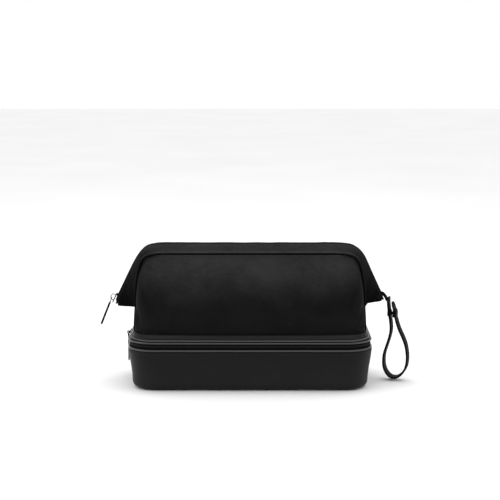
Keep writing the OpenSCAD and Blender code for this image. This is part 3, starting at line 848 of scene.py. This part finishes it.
def creased(P, side):
    """Presses soft slanting creases into a panel."""
    pick = np.random.default_rng(40 + side)
    flat_u, flat_v = P[..., 0], P[..., 2]
    depth = np.zeros(P.shape[:2])
    for _ in range(16):
        cx, cz = pick.uniform(-105, 105), pick.uniform(78, 142)
        angle, long_r, short_r = pick.uniform(-1.2, 1.2), pick.uniform(9, 24), pick.uniform(2.6, 5.0)
        a = (flat_u - cx) * math.cos(angle) + (flat_v - cz) * math.sin(angle)
        b = (flat_v - cz) * math.cos(angle) - (flat_u - cx) * math.sin(angle)
        depth += pick.choice([-1, 1]) * pick.uniform(0.5, 1.05) * np.exp(-(a / long_r) ** 2) * (
            np.exp(-(b / short_r) ** 2) - 0.45 * np.exp(-(b / (2.2 * short_r)) ** 2))
    edge = np.minimum(ease((MID - np.abs(flat_u)) / 14), ease((FOLD_TOP - flat_v) / 8))
    return P + grid_normals(P) * (depth * edge * ease((flat_v - 62) / 10))[..., None]


def build_panels():
    share = np.linspace(-1, 1, 111)
    us = np.sin(share * math.pi / 2) * 0.3 + share * 0.7
    zs = np.concatenate([np.linspace(60.2, 140, 46)[:-1], np.linspace(140, FOLD_TOP - 2.0, 20)])
    for side, label in SIDES:
        P = np.array([[(-side * u * (fold_half(z) - 1.0), side * panel_y(u, z), z) for u in us] for z in zs])
        P = creased(drape(pinched(P, side), 2.0 + side), side)
        outer = shell(label + "_panel_canvas", P, 1.1, CANVAS)
        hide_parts(label + "_panel", label + "_panel_lower")
        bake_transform(outer)
        N = grid_normals(P)
        inside = wobble((P - N * 2.0)[1:-1, 3:-3], 20.0, 0.5, 9.0, N[1:-1, 3:-3])
        liner = shell(label + "_lining_cloth", inside, 0.5, LINING)
        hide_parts(label + "_lining")
        if side < 0:
            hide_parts("body_lining")
        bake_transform(liner)


def build_gussets():
    """Side cloth: a wall below the pivots, and a fold that tucks in between the frames above."""
    for sx, label in ((1, "right"), (-1, "left")):
        P = []
        for z in np.linspace(60.2, 86.0, 22):
            depth = lookup(z, [(62, 0), (74, 0.7), (86, 1.2)])
            row = [(sx * (MID - 0.9 - depth * (1 - abs(w) ** 1.7)), w * (edge_y(z) + 0.2), z)
                   for w in np.linspace(-1, 1, 41)]
            P.append(row[::sx])
        P = wobble(np.array(P), 16.0, 0.8, 4.0 + sx)
        low = shell("gusset_lower_" + label, P, 1.0, CANVAS)
        fit(low, "upper", "canvas", "gusset_" + label)
        for sy, part in SIDES:
            P = []
            for z in np.linspace(84.5, 147.5, 44):
                depth = lookup(z, [(84, 1.0), (89, 2.2), (98, 12), (110, 19), (130, 24), (148, 26)])
                reach_x, reach_y = fold_half(z) - 1.6, edge_y(z) - 1.2
                row = []
                for t in np.linspace(0, 1, 18):
                    bulge = math.sin(math.pi * t) * 2.2
                    x = reach_x - depth * (1 - t) - bulge * 0.3
                    row.append((sx * x, sy * (0.35 + reach_y * t + bulge * 0.4), z))
                P.append(row[::sx * sy])
            P = wobble(np.array(P), 14.0, 0.7, 6.0 + sx + 2 * sy)
            up = shell("gusset_fold_%s_%s" % (label, part), P, 0.8, CANVAS)
            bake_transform(up)


# ---------------------------------------------------------------- mouth strips, wings and the top zip

def build_strips():
    for side, label in SIDES:
        body = label + "_frame"
        F = fold_line * [1, side, 1]
        R = ridge_line + [0, side * 0.9, 0]
        w = unit(R - F)
        width = np.linalg.norm(R - F, axis=1)
        n = unit(np.cross(np.gradient(F, axis=0) + np.gradient(R, axis=0), w) * -side)

        def line(across, out):
            """Line along the strip, a way across from the fold and out from the cloth."""
            return F + w * np.reshape(across, (-1, 1)) + n * np.reshape(out, (-1, 1))

        wing = ease((np.abs(fold_t) - 7.0) / 5.0)
        lip = [(1.9, -0.35), (0.9, -0.4), (0.3, -0.2), (0.1, 0.15), (0.2, 0.6), (0.7, 0.9), (1.7, 1.0),
               (3.2, 1.0)]
        profile = [line(a, h) for a, h in lip]
        for s in np.linspace(0.2, 0.76, 11):
            swell = math.sin(math.pi * s)
            profile.append(line(width * s, 0.75 + (0.9 - 0.3 * wing) * swell))
        P = np.array(profile + [line(width * 0.8 + a, h) for a, h in ((0, 1.3), (0.7, 1.0), (0.7, 0.5))])
        calm = np.where(np.arange(len(P)) < len(lip), 0.15, 1.0)[:, None]
        h = np.array([noise.noise(Vector((p[0] / 17.0, p[1] / 14.0 + 3 * side, p[2] / 17.0)))
                      + 0.4 * noise.noise(Vector((p[0] / 6.0, p[1] / 9.0, p[2] / 6.0 + 5)))
                      for p in P.reshape(-1, 3)])
        P = P + n * (h.reshape(P.shape[:2]) * (0.4 + wing) * calm)[..., None]
        strip = shell(label + "_strip_canvas", P, 0.8, STRIP, flip=side < 0)
        fit(strip, body, "canvas", label + "_strip")
        # the welt's lighter cloth is a painted highlight along the fold
        fit(sweep(label + "_strip_welt", line(0.1, 0.75)[1:-1], circle(0.85, 12), WELT), body, "canvas")
        inner = slice(6, -6)
        # painted shadow: a near-black cord deep in the crease under the welt
        shadow_cord = sweep(label + "_strip_seam_binding", line(0.8, -1.3)[inner], circle(1.3, 12), CREASE_SHADOW)
        fit(shadow_cord, body, "canvas")
        for name, row in (("fold", 8), ("zip", -5)):
            sewn = stitch_line("%s_strip_stitches_%s" % (label, name), (P[row] + n * 0.1)[inner], n[inner],
                               3.0, 2.1, 0.28, 0.0)
            fit(sewn, body, "canvas")
        for end, column in (("left", 0), ("right", -1)):
            hem = resample(P[5:-3, column] + [0, side * 0.1, 0.5], 1.0)
            fit(sweep("%s_wing_hem_%s" % (label, end), hem, circle(0.95, 10), STRIP), body, "canvas")

        shares = (0.48, 0.56, 0.64, 0.70, 0.78, 0.84, 0.9, 0.95)
        profile = [line(width * s, 0.25 + 0.25 * math.sin(math.pi * s)) for s in shares]
        profile.append(R + n * 0.1 + [0, side * 0.9, 0])
        P = np.array(profile)[:, 2:-2]
        tape = shell(label + "_top_zip_tape", P, 0.5, TAPE, flip=side < 0)
        fit(tape, body, "zip_tape", label + "_zip_tape")
        out = np.cross(unit(np.gradient(ridge_line, axis=0)), [0, 1.0, 0])
        toothed = slice(5, -8)
        teeth(label + "_top_zip_teeth", (ridge_line + out * 0.35)[toothed], (0, -side, 0), out[toothed], body,
              label + "_zip_teeth", 0.0 if side < 0 else 0.5)


# ---------------------------------------------------------------- sliders, pulls, strap and snap

def trapezoid(w0, w1, z0, z1, r, n=5):
    """Outline with round corners, w0 half wide at z0 and w1 half wide at z1, as (y, z) pairs."""
    corners = ((w0 - r, z0 + r, -90), (w1 - r, z1 - r, 0), (r - w1, z1 - r, 90), (r - w0, z0 + r, 180))
    out = []
    for cy, cz, start in corners:
        for k in range(n + 1):
            a = math.radians(start + 90 * k / n)
            out.append((cy + r * math.cos(a), cz + r * math.sin(a)))
    return np.array(out)


def slab(outline, profile):
    """Plate with an outline of (y, z) and a profile of (x, inset) from one face's middle to the other's."""
    t = unit(np.roll(outline, -1, 0) - np.roll(outline, 1, 0))
    normal = np.column_stack([t[:, 1], -t[:, 0]])
    n, rows = len(outline), len(profile)
    verts = [np.column_stack([np.full(n, x), outline - normal * inset]) for x, inset in profile]
    verts += [[[x, *outline.mean(0)]] for x in (profile[0][0], profile[-1][0])]
    last = (rows - 1) * n
    faces = quads(rows, n, True) + [((j + 1) % n, j, rows * n) for j in range(n)]
    faces += [(last + j, last + (j + 1) % n, rows * n + 1) for j in range(n)]
    return np.concatenate(verts), faces


def lathe(profile, n=40):
    """Profile of (x, radius) turned about the X axis."""
    verts = [(x, r * c, r * s) for x, r in profile for c, s in circle(1.0, n)]
    return verts, stack_faces(len(profile), n)


def join(parts):
    verts, faces = [], []
    for v, f in parts:
        start = sum(len(q) for q in verts)
        verts.append(np.asarray(v, float))
        faces += [tuple(start + k for k in face) for face in f]
    return np.concatenate(verts), faces


def placed(points, matrix, origin):
    return points @ np.asarray(matrix, float).T + np.asarray(origin, float)


def about_y(degrees):
    c, s = math.cos(math.radians(degrees)), math.sin(math.radians(degrees))
    return np.array([[c, 0, s], [0, 1, 0], [-s, 0, c]])


def slider_parts(out, channel, in_w, seat=0.0):
    """Slider whose rail runs along Z, with its outer plate towards -X and seat nearer the teeth."""
    plate = [(0.0, 1.2), (0.0, 0.5), (0.12, 0.2), (0.35, 0.0), (0.85, 0.0), (1.08, 0.2), (1.2, 0.5),
             (1.2, 1.2)]
    v, f = slab(trapezoid(2.9, 4.0, -6, 6, 1.6), plate)
    parts = [(v - [out + 1.2, 0, 0], f)]
    inner = trapezoid(min(in_w, 2.6), in_w, -6, 6, min(1.2, in_w * 0.6))
    v, f = slab(inner, [(x * 0.75, i * 0.7) for x, i in plate])
    parts.append((v + [channel, 0, 0], f))
    ends = [(-out - 0.1, 0.05), (-out, 0.0), (channel, 0.0), (channel + 0.1, 0.05)]
    parts.append(slab(trapezoid(0.42, 0.42, 3.2, 5.9, 0.3), ends))
    for s in (-1, 1):
        lip = [(-out - 0.5, s * y, z) for y, z in ((2.75, -5.2), (3.0, -3.0), (3.4, 0), (3.8, 3.0),
                                                   (3.75, 5.0))]
        parts.append(tube(smooth_curve(lip, np.linspace(0, 4, 15)), circle(0.42, 8)))
    leg = [(0.9, 3.3), (2.2 + seat, 3.05), (3.3 + seat, 2.2)]
    arch = [(x, -z) for x, z in leg] + [(3.75 + seat, 0.0)] + leg[::-1]
    curve = smooth_curve([(-out - x, 0, z) for x, z in arch], np.linspace(0, 6, 29))
    section = [(0.42 * c * (1.0 if abs(c) > 0.3 else 1.1), 0.85 * q) for c, q in circle(1.0, 14)]
    parts.append(tube(curve, section, up=(0, 1, 0)))
    v, f = join(parts)
    return v + [seat, 0, 0], f


def pull_parts(loop, loop_r, bar, bar_r, plate, thick):
    """Wire loop, the pull's bar that hangs on it, and a plate whose rim stands up.

    bar is its half width, its height and its number of points.
    """
    half = [(0.5, 0.0), (0.9, 0.1), (1.1, 0.4), (1.1, 0.85), (0.75, 1.05), (0.75, 1.4)]
    rim = [(-x * thick, inset) for x, inset in half[::-1]] + [(x * thick, inset) for x, inset in half]
    path = [(0, y, bar[1]) for y in np.linspace(-bar[0], bar[0], bar[2])]
    hook = tube(path, circle(bar_r, 14), up=(0, 0, 1))
    return join([tube(loop, circle(loop_r, 10), True), slab(plate, rim), hook])


PULL_LEN = 33.0


def build_sliders():
    (x0, z0), (x1, z1) = RIDGE[8], RIDGE[12]
    turn = about_y(math.degrees(math.atan2(x1 - x0, z0 - z1)))
    foot = np.array([-x1 - 0.6, 0.0, z1 + RIDGE_Z - 1.2])
    v, f = slider_parts(out=2, channel=4.2, in_w=1.5, seat=1.5)
    fit(make("top_slider_body", placed(v, turn, foot), f, DARK), "top_slider", "dark_metal", "top_slider")

    v, f = clamp(1.0, -0.8, 0.8, 0.9)
    v, f = join([(v + place, f) for place in ((-150.2, -1.35, 88.3), (149.2, -1.35, 93.6))])
    fit(make("top_zip_stop_clamps", v, f, DARK), "front_frame", "dark_metal", "top_zip_stops")

    # wire bail through the bridge, and a long plate
    bail = [(-1.4, 0.0), (1.4, 0.0), (2.1, -0.5), (2.2, -3.0), (2.0, -6.0), (1.2, -6.7), (-1.2, -6.7),
            (-2.0, -6.0), (-2.2, -3.0), (-2.1, -0.5)]
    loop = resample([(0, y, z) for y, z in bail], 0.55, True)
    plate = trapezoid(3.4, 2.5, -PULL_LEN, -7.2, 1.6)
    v, f = pull_parts(loop, loop_r=0.46, bar=(1.5, -6.7, 9), bar_r=0.98, plate=plate, thick=1.0)
    v = placed(placed(v, about_y(-3.5), (-4.3, 0, -0.95)), turn, foot)
    fit(make("top_pull_plate", v, f, DARK), "top_pull", "dark_metal", "top_pull")

    lo, hi = box_mm("base_slider")
    rail = np.array([-HALF_W + TAPE_IN + 0.8, 22.0, (lo[2] + hi[2]) / 2])
    lying = np.array([[1, 0, 0], [0, 0, -1], [0, 1, 0]])
    v, f = slider_parts(out=3.8, channel=0.9, in_w=3)
    fit(make("base_slider_body", placed(v, lying, rail), f, DARK), "base_slider", "dark_metal", "base_slider")
    loop = [(x, 0, z) for x, z in circle(1.62, 32)]
    plate = trapezoid(3.4, 2.3, -PULL_LEN, -3.3, 1.5)
    v, f = pull_parts(loop, loop_r=0.42, bar=(1.0, -3.0, 7), bar_r=1.05, plate=plate, thick=0.53)
    fit(make("base_pull_plate", v + rail + [-7.35, 0, 0], f, DARK), "base_pull", "dark_metal", "base_pull")


STRAP_X, STRAP_TURN, SNAP_Z = 156.0, 16.0, 76.5
STRAP = [(156, 94.6), (156.2, 88), (157.2, 80), (158.6, 71), (159.7, 62), (159.4, 55), (157.6, 47),
         (155, 38.5), (152.6, 30), (151.9, 21), (153.2, 13), (157, 6.5), (162, 3.2), (167.5, 3.6),
         (172.5, 7.2), (175.6, 11.7), (176.5, 13.2)]
FLAP = [(175.8, 12.0), (176.9, 14.1), (178.2, 18.5), (178.9, 25), (178.4, 33), (176.6, 42), (173.2, 50.5),
        (169.4, 58.5), (166.7, 66), (164.7, 73.5), (163.2, 81), (161.6, 86.5), (160.6, 90)]


def turned(points):
    """Turns points about the vertical line that the strap hangs from."""
    a = math.radians(-STRAP_TURN)
    m = np.array([[math.cos(a), -math.sin(a), 0], [math.sin(a), math.cos(a), 0], [0, 0, 1]])
    return (points - np.array([STRAP_X, 0, 0])) @ m.T + [STRAP_X, 0, 0]


def strap_section(h, w):
    """Section of a strap h half thick and w half wide, with folded and painted edges."""
    quarter = [(h * 1.07, 0.0), (h * 1.05, 3.0), (h, w - 1.6), (h * 0.88, w - 0.7), (h * 0.62, w - 0.15),
               (h * 0.3, w - 0.02), (0.0, w - 0.22)]
    return ([(x, -y) for x, y in quarter[2:0:-1]] + quarter + [(-x, y) for x, y in quarter[-2::-1]]
            + [(-x, -y) for x, y in quarter[1:]] + [(x, -y) for x, y in quarter[-2:2:-1]])


def build_strap():
    across = turned(np.array([[STRAP_X, 1.0, 0]]))[0] - [STRAP_X, 0, 0]
    h, w = 1.1, 7.0
    section = strap_section(h, w)
    for body, node, path in (("strap", "strap_band", STRAP), ("strap_end", "strap_flap", FLAP)):
        curve = smooth_curve([(x, 0, z) for x, z in path], np.linspace(0, len(path) - 1, 12 * len(path)))
        line = turned(resample(curve, 1.1))
        verts, faces = tube(line, section, up=across)
        reach = travel(line)
        cut = slice(1, -1)
        if node == "strap_flap":
            # the free end is rounded
            cut = slice(3, -6)
            narrow = np.sqrt(np.clip(1 - ((w - reach[-1] + reach) / w).clip(0, 1) ** 2.2, 0.02, 1))
            verts = verts.reshape(len(line), len(section), 3)
            off = verts @ across - (line @ across)[:, None]
            verts = (verts + ((narrow[:, None] - 1) * off)[..., None] * across).reshape(-1, 3)
        uv = spread_uv(reach, np.arange(len(section)) * 0.9)
        fit(make(node + "_leather", verts, faces, STRAP_LEATHER, uv), body, "faux_leather", node)
        s = frames_along(line, False, across)[0]
        for edge in (-1, 1):
            for face in (-1, 1):
                row = line + across * edge * (w - 2.0) + s * face * h * 1.02
                name = "%s_stitches_%d_%d" % (node, edge + 1, face + 1)
                fit(stitch_line(name, row[cut], (s * face)[cut], 2.9, 2.0, 0.26, 0.0), body, "faux_leather")

    def snap(name, profiles, body, node):
        v, f = join([lathe(p) for p in profiles])
        fit(make(name, turned(v + [0, 0, SNAP_Z]), f, DARK), body, "dark_metal", node)

    snap("snap_stud_metal", [
        [(158.5, 0.3), (158.5, 4.6), (158.8, 5.0), (159.2, 4.9), (159.6, 4.1), (159.9, 2.4), (160.3, 1.5),
         (161.2, 1.45), (161.8, 1.75), (162.2, 1.4), (162.3, 0.3)],
        [(155.2, 0.3), (155.2, 3.0), (155.45, 3.8), (155.9, 4.05), (156.6, 4.0), (156.8, 0.3)]],
        "strap", "snap_stud")
    snap("snap_cap_metal", [
        [(162.9, 1.9), (162.2, 1.9), (161.5, 2.3), (161.3, 3.0), (161.3, 4.4), (161.6, 4.95), (162.2, 5.0),
         (163.2, 4.7), (163.3, 1.9)],
        [(164.9, 0.3), (164.9, 5.7), (165.2, 6.0), (165.6, 5.85), (165.8, 5.3), (165.9, 4.9), (166.2, 4.6),
         (166.5, 3.4), (166.65, 1.6), (166.68, 0.3)]],
        "strap_end", "snap_cap")


def build_tab():
    """Tab that comes out of the right wing's tip and carries the strap."""
    along, n = np.linspace(0, 6, 60), 14
    path = smooth_curve([(127.6, 0, 83.0), (131, 0, 88.5), (137, 0, 95.0), (143, 0, 99.4), (148.6, 0, 99.4),
                         (152.2, 0, 95.8), (154.3, 0, 91.4)], along)
    v, f = tube(path, [(1.8 * a, b) for a, b in circle(1.0, n)], up=(0, 1, 0))
    wide = lookup(along, [(0, 1.8), (3.2, 1.6), (4.1, 2.2), (5.0, 5.6), (5.8, 6.2), (6, 5.4)])
    v[:, 1] *= np.repeat(wide, n)
    uv = spread_uv(np.linspace(0, 36, len(path)), np.arange(n) * 0.75)
    fit(make("strap_tab_leather", v, f, STRAP_LEATHER, uv), "upper", "canvas", "strap_tab")


def build_piping():
    """Bound edge down each side of both panels."""
    zs = np.concatenate([np.linspace(61.5, 138, 60), np.linspace(139, 148.5, 14)])
    for sy, part in SIDES:
        for sx, label in ((-1, "left"), (1, "right")):
            path = [(sx * (fold_half(z) - 0.7), sy * (edge_y(z) + 0.3), z) for z in zs]
            obj = sweep("%s_panel_piping_%s" % (part, label), path, circle(1.05, 10), STRIP)
            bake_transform(obj)


# ---------------------------------------------------------------- scene

def lamp(name, place, target, size, power):
    data = bpy.data.lights.new(name, "AREA")
    data.shape = "RECTANGLE"
    data.size, data.size_y = size
    data.energy = power
    obj = stand(name, data)
    obj.location = place
    obj.rotation_euler = (Vector(target) - Vector(place)).to_track_quat("-Z", "Y").to_euler()


def build_stage():
    mesh = bpy.data.meshes.new("floor")
    s = 6.0
    mesh.from_pydata([(-s, -s, 0), (s, -s, 0), (s, s, 0), (-s, s, 0)], [], [(0, 1, 2, 3)])
    floor = stand("floor", mesh)
    floor.location.z = -0.0003
    g = Graph("floor_white")
    mesh.materials.append(g.set(Base_Color=g.ramp(g.noise(3.0, 2.0), (0.3, 0.9), (0.7, 0.93)), Roughness=0.7,
                                Specular_IOR_Level=0.1))

    world = bpy.data.worlds.new("world")
    bpy.context.scene.world = world
    world.use_nodes = True
    world.node_tree.nodes["Background"].inputs[0].default_value = (1, 1, 1, 1)
    world.node_tree.nodes["Background"].inputs[1].default_value = 1.0

    lamp("top_soft", (0.0, 0.25, 1.5), (0, 0, 0.05), (1.6, 1.0), 10)
    lamp("left_soft", (-1.3, -0.5, 0.5), (0, 0, 0.03), (0.7, 0.8), 2.6)
    lamp("right_soft", (1.4, -0.4, 0.7), (0, 0, 0.08), (0.7, 1.0), 0.8)

    cam = bpy.data.cameras.new("camera")
    cam.sensor_width = 36.0
    cam.lens = 102.2
    cam.shift_y = 0.1216
    cam.clip_end = 30.0
    eye = stand("camera", cam)
    down, away = math.radians(11.0), 1.6
    eye.location = Vector((0.0, -away * math.cos(down), 0.079 + away * math.sin(down)))
    eye.rotation_euler = (math.radians(90) - down, 0, 0)
    bpy.context.scene.camera = eye
    bpy.context.scene.view_settings.view_transform = "Standard"


def dress_cad():
    """Gives the CAD nodes that still show their own materials."""
    skins = {"base_board": BOARD, "lid_deck": BOARD, "front_frame_bar": WIRE, "back_frame_bar": WIRE}
    for name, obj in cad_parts.items():
        if obj.hide_render:
            continue
        obj.data.materials.clear()
        obj.data.materials.append(skins.get(name, DARK))


build_stage()
build_base()
build_base_zip()
build_lid()
build_panels()
build_gussets()
build_strips()
build_sliders()
build_strap()
build_tab()
build_piping()
dress_cad()
